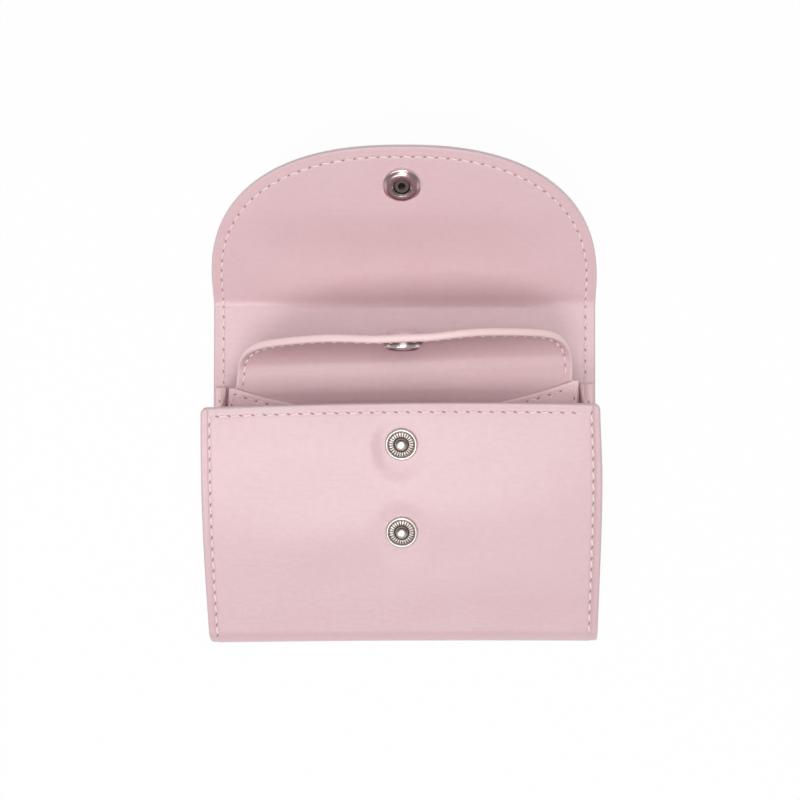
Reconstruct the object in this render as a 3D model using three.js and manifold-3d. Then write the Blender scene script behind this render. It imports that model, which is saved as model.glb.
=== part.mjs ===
// Card and coin wallet, lying open on its back panel. Millimetres, +Z up.
// One outer leather runs from the front panel round the bottom fold to the back panel, the spine and
// the rounded flap, with a lining glued and sewn to its inside. A divider between two side gussets
// makes a card space in front and a coin space behind; its top is an inner flap with a creased tab.
// Each flap closes with a press snap: two studs on the front panel, a socket on each flap.
// X runs across the wallet, Y from the bottom fold towards the flap, Z up from the table.
import * as THREE from 'three';
import { mergeVertices } from 'three/addons/utils/BufferGeometryUtils.js';
import ManifoldModule from 'manifold-3d';

// Leather layers
const outerThickness = 1.1;
const liningThickness = 0.7;
const innerBackThickness = 0.8;
const innerFaceThickness = 0.6;
const pocketThickness = 0.8;
const gussetThickness = 0.7;
const glueLine = 0.1;
const foldGap = 0.3;
const foldReach = 2;

// Outer leather: width, and the length of each leaf between its fold lines
const panelWidth = 108;
const backLength = 72.3;
const bottomRadius = 4.5;
const openAngle = THREE.MathUtils.degToRad(14);
const frontLength = 64;
const frontCorner = 1.6;
const spineFoldY = 39.3;
const spineLength = 17.9;
const flapAngle = THREE.MathUtils.degToRad(35);
const flapLength = 48.4;
const flapShoulder = 4.3;
const flapRoundness = 2.34;

// Divider, slip pocket and inner flap
const dividerWidth = 96.8;
const dividerStart = 7;
const innerFoldLine = 68.4;
const pocketWidth = 96;
const pocketTop = 67.2;
const pocketScoop = 8;
const pocketShoulder = 1.5;
const slotGap = 0.3;
const innerFlapWidth = 92;
const innerFlapRoundness = 2.2;
const innerArmLength = 10.4;
const tabAngle = THREE.MathUtils.degToRad(83);
const tabLength = 17.5;
const tabFoldReach = 5;

// Side gussets
const gussetSeat = 0.15;
const gussetFlange = 2.4;
const gussetInset = 0.5;
const gussetStart = 2.5;
const gussetBackTop = 67.2;
const gussetFrontTop = 63.5;
const gussetStations = 6;
const dividerClearance = 0.3;

// Press snaps
const upperStudBelowEdge = 10.6;
const lowerStudBelowEdge = 35.2;
const innerSocketReach = 10.7;
const flapSocketReach = 36.7;
const seatGap = 0.03;
const studRadius = 4.4;
const studHeight = 0.9;
const postRadius = 1.5;
const postHeight = 2.2;
const rivetRadius = 3.6;
const rivetThickness = 0.45;
const rivetShankRadius = 0.9;
const socketRadius = 5.2;
const socketHeight = 1.6;
const socketHole = 2.5;
const socketFloor = 0.25;
const springWire = 0.2;
const capRadius = 4.6;
const capThickness = 0.47;
const capShankRadius = 1.5;
const capBump = 0.4;
const shankClearance = 0.12;
const roundSegments = 32;

// Places worked out from the sizes above
const panelThickness = outerThickness + glueLine + liningThickness;
const innerThickness = innerBackThickness + glueLine + innerFaceThickness;
const hingeY = spineFoldY - backLength;
const hingeZ = bottomRadius;
const liningRadius = bottomRadius - panelThickness;

const wasm = await ManifoldModule();
wasm.setup();

const leather = { color: 0xe6c6cb, roughness: 0.5, metalness: 0 };
const liningLeather = { color: 0xdcb9bf, roughness: 0.55, metalness: 0 };
const nickel = { color: 0xd6cfca, roughness: 0.28, metalness: 1 };

function addMesh(parent, name, geometry, look) {
  const mesh = new THREE.Mesh(geometry, new THREE.MeshStandardMaterial(look));
  mesh.name = name;
  parent.add(mesh);
  return mesh;
}

function addGroup(parent, x, y, z, tilt) {
  const group = new THREE.Group();
  group.position.set(x, y, z);
  group.rotation.x = tilt;
  parent.add(group);
  return group;
}

function toSolid(geometry) {
  const bare = new THREE.BufferGeometry();
  bare.setAttribute('position', geometry.getAttribute('position').clone());
  if (geometry.index) bare.setIndex(geometry.index.clone());
  const welded = mergeVertices(bare, 1e-4);
  const mesh = new wasm.Mesh({
    numProp: 3,
    vertProperties: new Float32Array(welded.getAttribute('position').array),
    triVerts: new Uint32Array(welded.index.array),
  });
  return new wasm.Manifold(mesh);
}

function toGeometry(solid) {
  const mesh = solid.getMesh();
  const geometry = new THREE.BufferGeometry();
  geometry.setAttribute('position', new THREE.BufferAttribute(new Float32Array(mesh.vertProperties), 3));
  geometry.setIndex(new THREE.BufferAttribute(new Uint32Array(mesh.triVerts), 1));
  geometry.computeVertexNormals();
  return geometry;
}

// A leaf of leather: an outline in X and Y with its faces at two heights
function leaf(outline, low, high) {
  const geometry = new THREE.ExtrudeGeometry(outline, {
    depth: high - low,
    bevelEnabled: false,
    curveSegments: 12,
  });
  geometry.translate(0, 0, low);
  return geometry;
}

function rectangle(width, start, end) {
  const shape = new THREE.Shape();
  shape.moveTo(-width / 2, start);
  shape.lineTo(width / 2, start);
  shape.lineTo(width / 2, end);
  shape.lineTo(-width / 2, end);
  shape.closePath();
  return shape;
}

// A rectangle whose two far corners are rounded
function roundedTop(width, start, end, corner) {
  const half = width / 2;
  const shape = new THREE.Shape();
  shape.moveTo(-half, start);
  shape.lineTo(half, start);
  shape.lineTo(half, end - corner);
  shape.absarc(half - corner, end - corner, corner, 0, Math.PI / 2, false);
  shape.lineTo(-half + corner, end);
  shape.absarc(-half + corner, end - corner, corner, Math.PI / 2, Math.PI, false);
  shape.closePath();
  return shape;
}

// The flap: straight sides to its shoulder, then a superellipse to its tip
function flapOutline() {
  const half = panelWidth / 2;
  const rise = flapLength - flapShoulder;
  const steps = 44;
  const shape = new THREE.Shape();
  shape.moveTo(-half, foldReach);
  shape.lineTo(half, foldReach);
  for (let i = 0; i <= steps; i += 1) {
    const angle = (Math.PI * i) / steps;
    const across = Math.sign(Math.cos(angle)) * Math.abs(Math.cos(angle)) ** (2 / flapRoundness);
    const along = Math.sin(angle) ** (2 / flapRoundness);
    shape.lineTo(half * across, flapShoulder + rise * along);
  }
  shape.closePath();
  return shape;
}

// The inner flap between two distances from its fold line, drawn from a leaf's own fold line: one wide
// superellipse that closes at the tab's end
function innerOutline(start, end, origin) {
  const length = innerArmLength + tabLength;
  const power = 2 / innerFlapRoundness;
  const angleAt = (distance) => Math.asin(Math.min(distance / length, 1) ** (1 / power));
  const from = angleAt(start);
  const to = angleAt(end);
  const steps = Math.max(3, Math.ceil((to - from) / 0.06));
  const right = [];
  for (let i = 0; i <= steps; i += 1) {
    const angle = from + ((to - from) * i) / steps;
    const across = (innerFlapWidth / 2) * Math.cos(angle) ** power;
    right.push(new THREE.Vector2(across, length * Math.sin(angle) ** power - origin));
  }
  const left = right.filter((point) => point.x > 1e-6).map((point) => new THREE.Vector2(-point.x, point.y));
  return new THREE.Shape(right.concat(left.reverse()));
}

function innerHalf(distance) {
  const share = Math.min(Math.max(distance / (innerArmLength + tabLength), 0), 1);
  return (innerFlapWidth / 2) * (1 - share ** innerFlapRoundness) ** (1 / innerFlapRoundness);
}

// The slip pocket: its top edge is scooped along one wide arc between two short shoulders
function pocketOutline() {
  const half = pocketWidth / 2;
  const chord = half - pocketShoulder;
  const radius = (chord * chord + pocketScoop * pocketScoop) / (2 * pocketScoop);
  const centre = pocketTop - pocketScoop + radius;
  const spread = Math.asin(chord / radius);
  const shape = new THREE.Shape();
  shape.moveTo(-half, dividerStart);
  shape.lineTo(half, dividerStart);
  shape.lineTo(half, pocketTop);
  shape.lineTo(chord, pocketTop);
  shape.absarc(0, centre, radius, -Math.PI / 2 + spread, -Math.PI / 2 - spread, true);
  shape.lineTo(-half, pocketTop);
  shape.closePath();
  return shape;
}

function withHole(outline, y, radius) {
  const hole = new THREE.Path();
  hole.absarc(0, y, radius, 0, Math.PI * 2, true);
  outline.holes.push(hole);
  return outline;
}

// A strip of leather across the wallet whose section in Y and Z is a ring sector
function foldStrip(width, centreY, centreZ, innerRadius, outerRadius, from, to) {
  const section = new THREE.Shape();
  section.absarc(centreY, centreZ, outerRadius, from, to, false);
  section.absarc(centreY, centreZ, innerRadius, to, from, true);
  section.closePath();
  const geometry = new THREE.ExtrudeGeometry(section, {
    depth: width,
    bevelEnabled: false,
    curveSegments: 14,
  });
  geometry.translate(0, 0, -width / 2);
  const across = new THREE.Matrix4().makeBasis(
    new THREE.Vector3(0, 1, 0),
    new THREE.Vector3(0, 0, 1),
    new THREE.Vector3(1, 0, 0),
  );
  return geometry.applyMatrix4(across);
}

// A strip like that whose half width changes round the bend
function taperedStrip(halfAt, centreY, centreZ, innerRadius, outerRadius, from, to) {
  const stations = 14;
  const positions = [];
  const faces = [];
  for (let i = 0; i <= stations; i += 1) {
    const share = i / stations;
    const angle = from + (to - from) * share;
    const half = halfAt(share);
    const corners = [[-half, outerRadius], [half, outerRadius], [half, innerRadius], [-half, innerRadius]];
    for (const [x, radius] of corners) {
      positions.push(x, centreY + radius * Math.cos(angle), centreZ + radius * Math.sin(angle));
    }
  }
  const addQuad = (a, b, c, d) => faces.push(a, b, c, a, c, d);
  for (let i = 0; i < stations; i += 1) {
    const here = 4 * i;
    for (let side = 0; side < 4; side += 1) {
      const next = (side + 1) % 4;
      addQuad(here + next, here + side, here + 4 + side, here + 4 + next);
    }
  }
  addQuad(0, 1, 2, 3);
  addQuad(4 * stations + 3, 4 * stations + 2, 4 * stations + 1, 4 * stations);
  const geometry = new THREE.BufferGeometry();
  geometry.setAttribute('position', new THREE.Float32BufferAttribute(positions, 3));
  geometry.setIndex(faces);
  geometry.computeVertexNormals();
  return geometry;
}

// A turned piece on the Z axis from its profile of radius and height
function turned(profile) {
  const points = profile.map(([radius, height]) => new THREE.Vector2(radius, height));
  return new THREE.LatheGeometry(points, roundSegments).rotateX(Math.PI / 2);
}

function cylinder(radius, low, high) {
  return turned([[0, low], [radius, low], [radius, high], [0, high]]);
}

const wallet = new THREE.Group();

// Back panel: flat on the table, from the bottom fold to the spine fold
const backStart = hingeY + foldGap;
const backEnd = spineFoldY - foldReach;
const backOutline = rectangle(panelWidth, backStart, backEnd);
addMesh(wallet, 'back_panel', leaf(backOutline, 0, outerThickness), leather);
const liningLow = panelThickness - liningThickness;
addMesh(wallet, 'back_lining', leaf(backOutline, liningLow, panelThickness), liningLeather);

// Bottom fold: half a turn of both layers, ending where the front panel leaves it
const foldFrom = Math.PI / 2 + openAngle;
const foldTo = (Math.PI * 3) / 2;
for (const [name, inside, outside, look] of [
  ['bottom_fold', bottomRadius - outerThickness, bottomRadius, leather],
  ['bottom_fold_lining', liningRadius, liningRadius + liningThickness, liningLeather],
]) {
  const spare = foldGap / inside;
  const strip = foldStrip(panelWidth, hingeY, hingeZ, inside, outside, foldFrom + spare, foldTo - spare);
  addMesh(wallet, name, strip, look);
}

// Front panel: turns with the mouth about the centre of the bottom fold
const front = addGroup(wallet, 0, hingeY, hingeZ, openAngle);
const frontOutline = roundedTop(panelWidth, foldGap, frontLength, frontCorner);
const studPlaces = [
  ['upper', frontLength - upperStudBelowEdge],
  ['lower', frontLength - lowerStudBelowEdge],
];
const frontLow = bottomRadius - outerThickness;
const rivetSeat = frontLow + rivetThickness + 2 * seatGap;
let frontLeather = toSolid(leaf(frontOutline, frontLow, bottomRadius));
for (const [, y] of studPlaces) {
  const hole = cylinder(rivetShankRadius + shankClearance, 0, bottomRadius + 1).translate(0, y, 0);
  const seat = cylinder(rivetRadius + shankClearance, 0, rivetSeat).translate(0, y, 0);
  frontLeather = frontLeather.subtract(toSolid(hole)).subtract(toSolid(seat));
}
addMesh(front, 'front_panel', toGeometry(frontLeather), leather);
const frontLiningHigh = liningRadius + liningThickness;
addMesh(front, 'front_lining', leaf(frontOutline, liningRadius, frontLiningHigh), liningLeather);

// Studs on the front panel, each held by a rivet whose flange lies between the two leathers
const boreTop = 0.75;
const studBore = rivetShankRadius + shankClearance;
for (const [name, y] of studPlaces) {
  const seat = addGroup(front, 0, y, bottomRadius, 0);
  const stud = turned([
    [0, boreTop],
    [studBore, boreTop],
    [studBore, seatGap],
    [studRadius - 0.1, seatGap],
    [studRadius, 0.15],
    [studRadius, studHeight - 0.3],
    [studRadius - 0.2, studHeight - 0.05],
    [studRadius - 0.5, studHeight],
    [studRadius - 0.8, studHeight - 0.05],
    [studRadius - 0.95, studHeight - 0.28],
    [2.5, studHeight - 0.18],
    [2.2, studHeight - 0.4],
    [2, 0.4],
    [postRadius - 0.1, 0.4],
    [postRadius - 0.22, 0.9],
    [postRadius - 0.2, 1.2],
    [postRadius, postHeight - 0.65],
    [postRadius, postHeight - 0.4],
    [postRadius - 0.3, postHeight - 0.12],
    [postRadius - 0.8, postHeight],
    [0, postHeight],
  ]);
  addMesh(seat, `${name}_stud`, stud, nickel);
  const flangeLow = -outerThickness + seatGap;
  const rivet = turned([
    [0, flangeLow],
    [rivetRadius, flangeLow],
    [rivetRadius, flangeLow + rivetThickness],
    [rivetShankRadius, flangeLow + rivetThickness],
    [rivetShankRadius, boreTop - 0.1],
    [0, boreTop - 0.1],
  ]);
  addMesh(seat, `${name}_stud_rivet`, rivet, nickel);
}

// Leathers of a snap's far side: the cap is sunk in the outer one, which swells over it
function cappedLeather(outline, y, low, high) {
  const bump = turned([
    [0, low - capBump],
    [capRadius - 0.8, low - capBump],
    [capRadius + 0.3, low - capBump * 0.55],
    [capRadius + 1, low],
    [capRadius + 1, low + 0.2],
    [0, low + 0.2],
  ]).translate(0, y, 0);
  const recess = cylinder(capRadius + shankClearance, high - capThickness + glueLine - 2 * seatGap, high + 1);
  recess.translate(0, y, 0);
  const swollen = toSolid(leaf(outline, low, high)).add(toSolid(bump));
  return toGeometry(swollen.subtract(toSolid(recess)));
}

// A snap's socket, the cap behind it whose shank is rolled over inside it, and its spring ring
function addSocket(parent, name, y, faceThickness) {
  const seat = addGroup(parent, 0, y, 0, 0);
  const floor = seatGap + socketFloor;
  const grooveLow = floor + 0.25;
  const grooveHigh = grooveLow + 2 * springWire + 0.16;
  const groove = socketHole + 0.45;
  const shankHole = capShankRadius + shankClearance;
  const socket = turned([
    [shankHole, seatGap],
    [socketRadius - 0.3, seatGap],
    [socketRadius, 0.35],
    [socketRadius, socketHeight - 0.7],
    [socketRadius - 0.2, socketHeight - 0.3],
    [socketRadius - 0.6, socketHeight],
    [socketRadius - 1, socketHeight],
    [socketRadius - 1.4, socketHeight - 0.35],
    [socketRadius - 1.75, socketHeight - 0.45],
    [socketHole + 0.6, socketHeight - 0.2],
    [socketHole + 0.3, socketHeight - 0.15],
    [socketHole, socketHeight - 0.3],
    [socketHole, grooveHigh],
    [groove, grooveHigh],
    [groove, grooveLow],
    [socketHole, grooveLow],
    [socketHole, floor],
    [shankHole, floor],
    [shankHole, seatGap],
  ]);
  addMesh(seat, `${name}_socket`, socket, nickel);

  const capHigh = -faceThickness - seatGap;
  const lipLow = floor + seatGap;
  const cap = turned([
    [0, capHigh - capThickness],
    [capRadius, capHigh - capThickness],
    [capRadius, capHigh],
    [capShankRadius, capHigh],
    [capShankRadius, lipLow],
    [capShankRadius + 0.45, lipLow],
    [capShankRadius + 0.45, lipLow + 0.18],
    [capShankRadius - 0.5, lipLow + 0.18],
    [capShankRadius - 0.5, capHigh],
    [0, capHigh],
  ]);
  addMesh(seat, `${name}_snap_cap`, cap, nickel);

  const springRadius = socketHole + springWire - 0.08;
  const springHeight = (grooveLow + grooveHigh) / 2;
  const ring = new THREE.Shape();
  ring.absarc(0, 0, springWire, 0, Math.PI * 2, false);
  class RingPath extends THREE.Curve {
    getPoint(t, target = new THREE.Vector3()) {
      const angle = THREE.MathUtils.degToRad(15 + 330 * t);
      return target.set(springRadius * Math.cos(angle), springRadius * Math.sin(angle), springHeight);
    }
  }
  const spring = new THREE.ExtrudeGeometry(ring, {
    steps: 40,
    curveSegments: 4,
    extrudePath: new RingPath(),
  });
  addMesh(seat, `${name}_snap_spring`, spring, nickel);
}

// Spine fold: flat while the wallet lies open, halfway between the back panel and the spine
const spineFold = rectangle(panelWidth, spineFoldY - foldReach + foldGap, spineFoldY + foldReach - foldGap);
addMesh(wallet, 'spine_fold', leaf(spineFold, 0, outerThickness), leather);
addMesh(wallet, 'spine_fold_lining', leaf(spineFold, liningLow, panelThickness), liningLeather);

// Spine: measured from its fold line, with its inner face at height 0
const spine = addGroup(wallet, 0, spineFoldY, panelThickness, 0);
const spineOutline = rectangle(panelWidth, foldReach, spineLength - foldReach);
const outerHigh = -panelThickness + outerThickness;
addMesh(spine, 'spine_outer', leaf(spineOutline, -panelThickness, outerHigh), leather);
addMesh(spine, 'spine_lining', leaf(spineOutline, -liningThickness, 0), liningLeather);

// A bent fold between two leaves: both layers follow arcs that end clear of the leaves
function addBentFold(parent, names, makeStrip, foldLine, reach, bend, layers) {
  const bent = reach - foldGap;
  const radius = bent / Math.tan(bend / 2);
  const from = -Math.PI / 2;
  names.forEach((name, i) => {
    const [top, bottom, look] = layers[i];
    const strip = makeStrip(foldLine - bent, radius, radius + top, radius + bottom, from, from + bend);
    addMesh(parent, name, strip, look);
  });
}

// Crease between the spine and the flap
const creaseStrip = (...arc) => foldStrip(panelWidth, ...arc);
addBentFold(spine, ['flap_fold', 'flap_fold_lining'], creaseStrip, spineLength, foldReach, flapAngle, [
  [liningThickness + glueLine, panelThickness, leather],
  [0, liningThickness, liningLeather],
]);

// Flap: raised at its crease, with the socket near its tip
const flap = addGroup(spine, 0, spineLength, 0, flapAngle);
const flapLow = -panelThickness;
const flapHigh = flapLow + outerThickness;
addMesh(flap, 'flap_outer', cappedLeather(flapOutline(), flapSocketReach, flapLow, flapHigh), leather);
const flapLining = withHole(flapOutline(), flapSocketReach, capShankRadius + shankClearance);
addMesh(flap, 'flap_lining', leaf(flapLining, -liningThickness, 0), liningLeather);
addSocket(flap, 'flap', flapSocketReach, liningThickness);

// Divider: two leathers on the middle line of the wedge, with the slip pocket on its front
const divider = addGroup(wallet, 0, hingeY, hingeZ, openAngle / 2);
const dividerOutline = rectangle(dividerWidth, dividerStart, innerFoldLine - foldReach);
const dividerLow = -innerThickness / 2;
const dividerHigh = innerThickness / 2;
const dividerBack = leaf(dividerOutline, dividerLow, dividerLow + innerBackThickness);
addMesh(divider, 'divider_back', dividerBack, leather);
const dividerFace = leaf(dividerOutline, dividerHigh - innerFaceThickness, dividerHigh);
addMesh(divider, 'divider_face', dividerFace, liningLeather);
const pocketLow = dividerHigh + slotGap;
const pocket = leaf(pocketOutline(), pocketLow, pocketLow + pocketThickness);
addMesh(divider, 'slip_pocket', pocket, liningLeather);

// Inner flap: an arm in line with the divider, then a tab that stands up at its crease
const arm = addGroup(divider, 0, innerFoldLine, dividerHigh, 0);
const reachIn = foldReach - foldGap;
const innerFold = rectangle(innerFlapWidth, -reachIn, reachIn);
const innerBackHigh = -innerThickness + innerBackThickness;
addMesh(arm, 'inner_fold_back', leaf(innerFold, -innerThickness, innerBackHigh), leather);
addMesh(arm, 'inner_fold_face', leaf(innerFold, -innerFaceThickness, 0), liningLeather);
const armOutline = innerOutline(foldReach, innerArmLength - tabFoldReach, 0);
addMesh(arm, 'inner_arm_back', leaf(armOutline, -innerThickness, innerBackHigh), leather);
addMesh(arm, 'inner_arm_face', leaf(armOutline, -innerFaceThickness, 0), liningLeather);
const bendHalf = (share) => innerHalf(innerArmLength + tabFoldReach * (2 * share - 1));
const tabStrip = (...arc) => taperedStrip(bendHalf, ...arc);
addBentFold(arm, ['tab_fold_back', 'tab_fold_face'], tabStrip, innerArmLength, tabFoldReach, tabAngle, [
  [innerFaceThickness + glueLine, innerThickness, leather],
  [0, innerFaceThickness, liningLeather],
]);

const tab = addGroup(arm, 0, innerArmLength, 0, tabAngle);
const tabEnd = innerArmLength + tabLength;
const tabOutline = () => innerOutline(innerArmLength + tabFoldReach, tabEnd, innerArmLength);
const tabLow = -innerThickness;
const tabBack = cappedLeather(tabOutline(), innerSocketReach, tabLow, tabLow + innerBackThickness);
addMesh(tab, 'inner_tab_back', tabBack, leather);
const tabFace = withHole(tabOutline(), innerSocketReach, capShankRadius + shankClearance);
addMesh(tab, 'inner_tab_face', leaf(tabFace, -innerFaceThickness, 0), liningLeather);
addSocket(tab, 'inner', innerSocketReach, innerFaceThickness);

// Side gussets: a flange on each lining and two walls that meet at the divider's edge
// A point of the fan is given by x, its share of the way from the back lining to the front lining,
// and its distance from the centre of the bottom fold
function fanPoint(x, share, distance) {
  const angle = openAngle * share;
  const offset = liningRadius * (2 * share - 1);
  return new THREE.Vector3(
    x,
    hingeY + distance * Math.cos(angle) - offset * Math.sin(angle),
    hingeZ + distance * Math.sin(angle) + offset * Math.cos(angle),
  );
}

// Both sides of the gusset's section at one distance, as points of x and height over the back lining
function gussetSection(height) {
  const half = gussetThickness / 2;
  const outerX = panelWidth / 2 - gussetInset;
  const foldX = outerX - gussetFlange;
  const apexX = dividerWidth / 2 + dividerClearance + half;
  const low = gussetSeat + half;
  const line = [
    new THREE.Vector2(outerX, low),
    new THREE.Vector2(foldX, low),
    new THREE.Vector2(apexX, height / 2),
    new THREE.Vector2(foldX, height - low),
    new THREE.Vector2(outerX, height - low),
  ];
  return line.map((point, i) => {
    const before = line[Math.max(i - 1, 0)];
    const after = line[Math.min(i + 1, line.length - 1)];
    const first = (i === 0 ? after.clone().sub(point) : point.clone().sub(before)).normalize();
    const atEnd = i === line.length - 1;
    const second = (atEnd ? point.clone().sub(before) : after.clone().sub(point)).normalize();
    const normal = new THREE.Vector2(-first.y - second.y, first.x + second.x).normalize();
    const mitre = half / Math.max(0.5, normal.dot(new THREE.Vector2(-first.y, first.x)));
    return [
      point.clone().addScaledVector(normal, mitre),
      point.clone().addScaledVector(normal, -mitre),
    ];
  });
}

function gussetGeometry(side) {
  const frontDrop = gussetBackTop - gussetFrontTop;
  const positions = [];
  for (let station = 0; station <= gussetStations; station += 1) {
    const along = station / gussetStations;
    const backDistance = gussetStart + along * (gussetBackTop - gussetStart);
    const height = 2 * liningRadius + backDistance * openAngle;
    const pairs = gussetSection(height);
    const loop = pairs.map((pair) => pair[0]).concat(pairs.map((pair) => pair[1]).reverse());
    for (const point of loop) {
      const share = point.y / height;
      const drop = along * frontDrop * Math.max(0, 2 * share - 1);
      const place = fanPoint(side * point.x, share, backDistance - drop);
      positions.push(place.x, place.y, place.z);
    }
  }
  const count = positions.length / 3 / (gussetStations + 1);
  const last = count * gussetStations;
  const faces = [];
  for (let station = 0; station < gussetStations; station += 1) {
    const here = station * count;
    const ahead = here + count;
    for (let i = 0; i < count; i += 1) {
      const next = (i + 1) % count;
      faces.push([here + i, here + next, ahead + next], [here + i, ahead + next, ahead + i]);
    }
  }
  for (let i = 0; i + 1 < count / 2; i += 1) {
    const far = count - 1 - i;
    faces.push([i, far, i + 1], [i + 1, far, far - 1]);
    faces.push([last + i, last + i + 1, last + far], [last + i + 1, last + far - 1, last + far]);
  }
  const outward = side < 0 ? faces.map(([a, b, c]) => [a, c, b]) : faces;
  const geometry = new THREE.BufferGeometry();
  geometry.setAttribute('position', new THREE.Float32BufferAttribute(positions, 3));
  geometry.setIndex(outward.flat());
  geometry.computeVertexNormals();
  return geometry;
}

addMesh(wallet, 'left_gusset', gussetGeometry(-1), liningLeather);
addMesh(wallet, 'right_gusset', gussetGeometry(1), liningLeather);

export default wallet;
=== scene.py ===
"""Card and coin wallet of pale pink leather, lying open on its back panel.

Sizes are in millimetres and become metres where a mesh is made. X runs across the wallet, Y from the
bottom fold towards the flap, Z up from the table. Each leather is drawn as its flat cut, x across and
s along, and laid on the line that it is folded to.
"""

import math

import bpy
import numpy as np
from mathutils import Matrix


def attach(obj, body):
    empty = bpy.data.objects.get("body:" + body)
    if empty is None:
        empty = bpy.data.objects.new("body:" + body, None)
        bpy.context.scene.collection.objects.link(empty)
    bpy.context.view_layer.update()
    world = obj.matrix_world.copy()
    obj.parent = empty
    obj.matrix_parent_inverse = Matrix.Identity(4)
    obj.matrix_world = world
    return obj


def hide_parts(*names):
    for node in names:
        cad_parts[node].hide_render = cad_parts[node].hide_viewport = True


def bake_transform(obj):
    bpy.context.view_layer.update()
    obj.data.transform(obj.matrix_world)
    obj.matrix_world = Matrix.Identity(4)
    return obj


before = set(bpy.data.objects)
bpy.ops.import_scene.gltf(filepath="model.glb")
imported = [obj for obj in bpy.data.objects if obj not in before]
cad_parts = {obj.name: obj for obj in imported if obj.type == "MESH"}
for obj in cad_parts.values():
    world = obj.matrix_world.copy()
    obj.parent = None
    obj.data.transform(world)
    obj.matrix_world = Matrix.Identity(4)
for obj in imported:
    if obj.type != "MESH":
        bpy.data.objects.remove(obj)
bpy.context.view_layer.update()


# Camera
# It looks down on the open wallet from a little to its right, with a lens of moderate length.
eye = bpy.data.objects.new("camera", bpy.data.cameras.new("camera"))
eye.location = (0.01212, 0.02299, 0.41152)
eye.rotation_euler = [math.radians(angle) for angle in (0.974, 1.836, 0.13)]
eye.data.sensor_width = 36
eye.data.lens = 65.24
bpy.context.scene.collection.objects.link(eye)
bpy.context.scene.camera = eye
bpy.context.scene.view_settings.view_transform = "Standard"


# Floor and light
# A white table under two broad soft lamps, one overhead and one before the wallet. The surround is white
# at the horizon and dims overhead. Sizes here are in metres.
class Shade:
    """A socket of a node tree, used like a number: each sign in a formula on values adds one Math node."""

    def __init__(self, tree, socket=None):
        self.tree = tree
        self.socket = socket

    def node(self, kind, values, output=0, **settings):
        """Adds a node of any type: its settings first, then the values or links of its sockets."""
        made = self.tree.nodes.new(kind)
        for key, value in settings.items():
            setattr(made, key, value)
        for key, value in values.items():
            if isinstance(value, Shade):
                self.tree.links.new(value.socket, made.inputs[key])
            else:
                made.inputs[key].default_value = value
        return Shade(self.tree, made.outputs[output])

    def sum_up(self, operation, first, second=0.0):
        """One Math node of the given operation on two values."""
        return self.node("ShaderNodeMath", {0: first, 1: second}, operation=operation)

    def __add__(self, other):
        return self.sum_up("ADD", self, other)

    def __radd__(self, other):
        return self.sum_up("ADD", other, self)

    def __sub__(self, other):
        return self.sum_up("SUBTRACT", self, other)

    def __rsub__(self, other):
        return self.sum_up("SUBTRACT", other, self)

    def __mul__(self, other):
        return self.sum_up("MULTIPLY", self, other)

    def __rmul__(self, other):
        return self.sum_up("MULTIPLY", other, self)

    def __truediv__(self, other):
        return self.sum_up("DIVIDE", self, other)

    def __rtruediv__(self, other):
        return self.sum_up("DIVIDE", other, self)

    def __pow__(self, other):
        return self.sum_up("POWER", self, other)

    def __rpow__(self, other):
        return self.sum_up("POWER", other, self)

    def held(self, low, high):
        """The value kept between two bounds."""
        return self.sum_up("MINIMUM", self.sum_up("MAXIMUM", self, low), high)

    def tint(self, first, second):
        """The colour this share of the way from the first colour to the second."""
        return self.node("ShaderNodeMix", {0: self, 6: first, 7: second}, 2, data_type="RGBA")

    def into(self, shader, socket):
        """Links the value to a socket of a shader."""
        self.tree.links.new(self.socket, shader.inputs[socket])


def new_finish(name):
    """An empty material: itself, a start for its formulas and its shader."""
    made = bpy.data.materials.new(name)
    made.use_nodes = True
    return made, Shade(made.node_tree), made.node_tree.nodes["Principled BSDF"]


TABLE_HALF = 9.0
TABLE_TOP = -0.0005
TABLE_GLOW = 0.96
table_ways = ((-1, -1), (1, -1), (1, 1), (-1, 1))
table_corners = [(x * TABLE_HALF, y * TABLE_HALF, TABLE_TOP) for x, y in table_ways]
table = bpy.data.meshes.new("table")
table.from_pydata(table_corners, [], [(0, 1, 2, 3)])
table_finish, start, shader = new_finish("table_white")
shader.inputs["Base Color"].default_value = (0.9, 0.9, 0.9, 1)
shader.inputs["Roughness"].default_value = 0.8
path = start.node("ShaderNodeLightPath", {}).socket.node
seen = Shade(start.tree, path.outputs["Is Camera Ray"]) + Shade(start.tree, path.outputs["Is Glossy Ray"])
seen = (seen + Shade(start.tree, path.outputs["Is Transmission Ray"])).held(0, 1)
plain = Shade(start.tree, shader.outputs[0])
glow = start.node("ShaderNodeEmission", {"Color": (1, 1, 1, 1), "Strength": 1.0})
both = start.node("ShaderNodeMixShader", {0: seen * TABLE_GLOW, 1: plain, 2: glow})
both.into(start.tree.nodes["Material Output"], "Surface")
table.materials.append(table_finish)
floor = bpy.data.objects.new("table", table)
bpy.context.scene.collection.objects.link(floor)

OVERHEAD = 0.35
HORIZON = 0.25
world = bpy.data.worlds.new("surround")
bpy.context.scene.world = world
world.use_nodes = True
start = Shade(world.node_tree)
way = start.node("ShaderNodeTexCoord", {}, "Generated")
low = (1 - start.node("ShaderNodeSeparateXYZ", {"Vector": way}, "Z") / HORIZON).held(0, 1)
surround = world.node_tree.nodes["Background"]
surround.inputs["Color"].default_value = (1, 1, 1, 1)
(OVERHEAD + low ** 2 * (1 - OVERHEAD)).into(surround, "Strength")

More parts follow.
